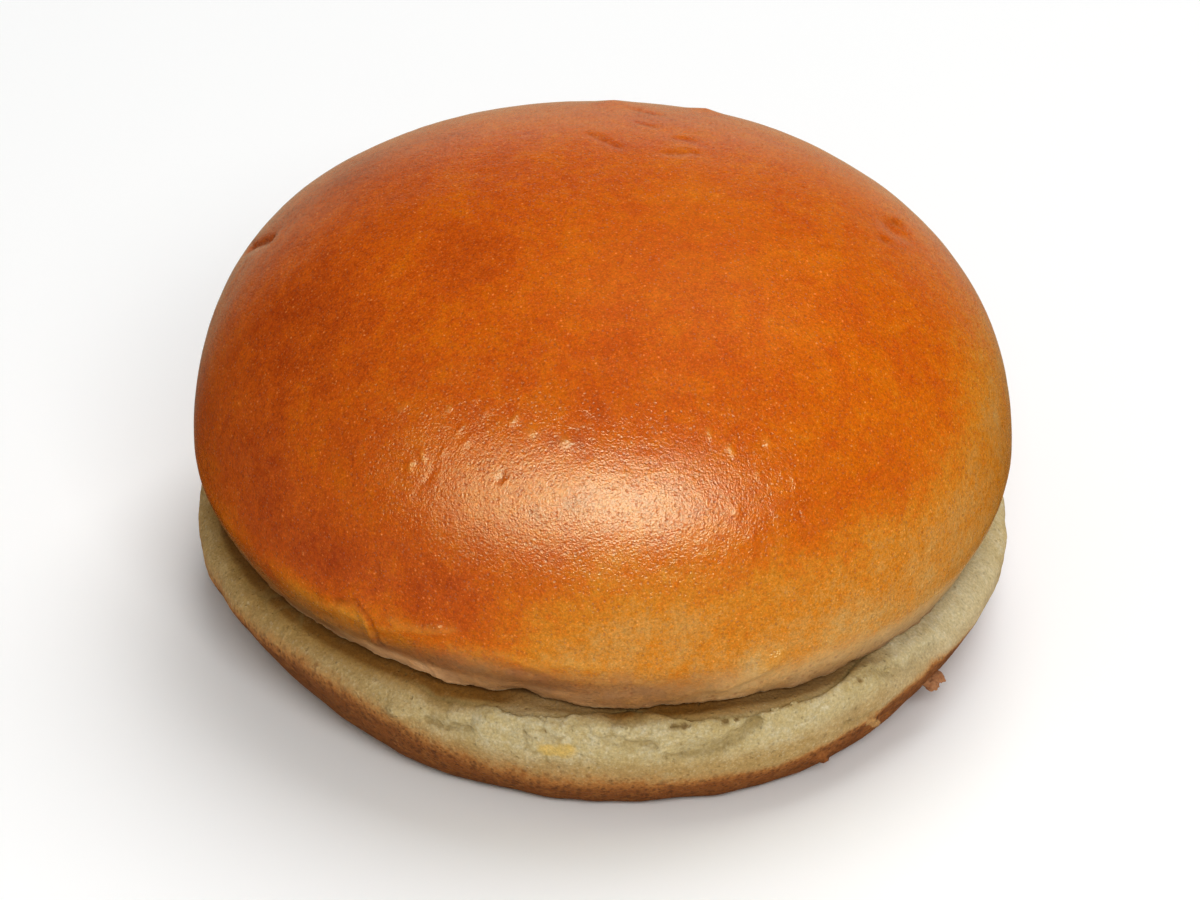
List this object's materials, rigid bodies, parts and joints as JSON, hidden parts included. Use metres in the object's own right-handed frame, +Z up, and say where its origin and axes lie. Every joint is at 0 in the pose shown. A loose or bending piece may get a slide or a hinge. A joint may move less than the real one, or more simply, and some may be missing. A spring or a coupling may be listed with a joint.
{
  "type": "hamburger bun",
  "caption": "Round sliced bun: a smooth glazed dome of brown crust lies on a low pale heel with a browned base.",
  "frame": {"origin": "under the middle of the bun's box, on the surface that it stands on", "axes": "+Z up; the torn edge and the drooping lip, which the picture shows in front, face -Y"},
  "size_m": [0.1, 0.1012, 0.0583],
  "materials": {
    "glazed_crust": "orange-brown egg-glazed crust with a soft sheen and a fine light speckle",
    "pale_crust": "matt, pale, crumbly side with a reddish brown base"
  },
  "bodies": {
    "root": {"crown": "glazed_crust", "heel": "pale_crust"}
  },
  "joints": []
}
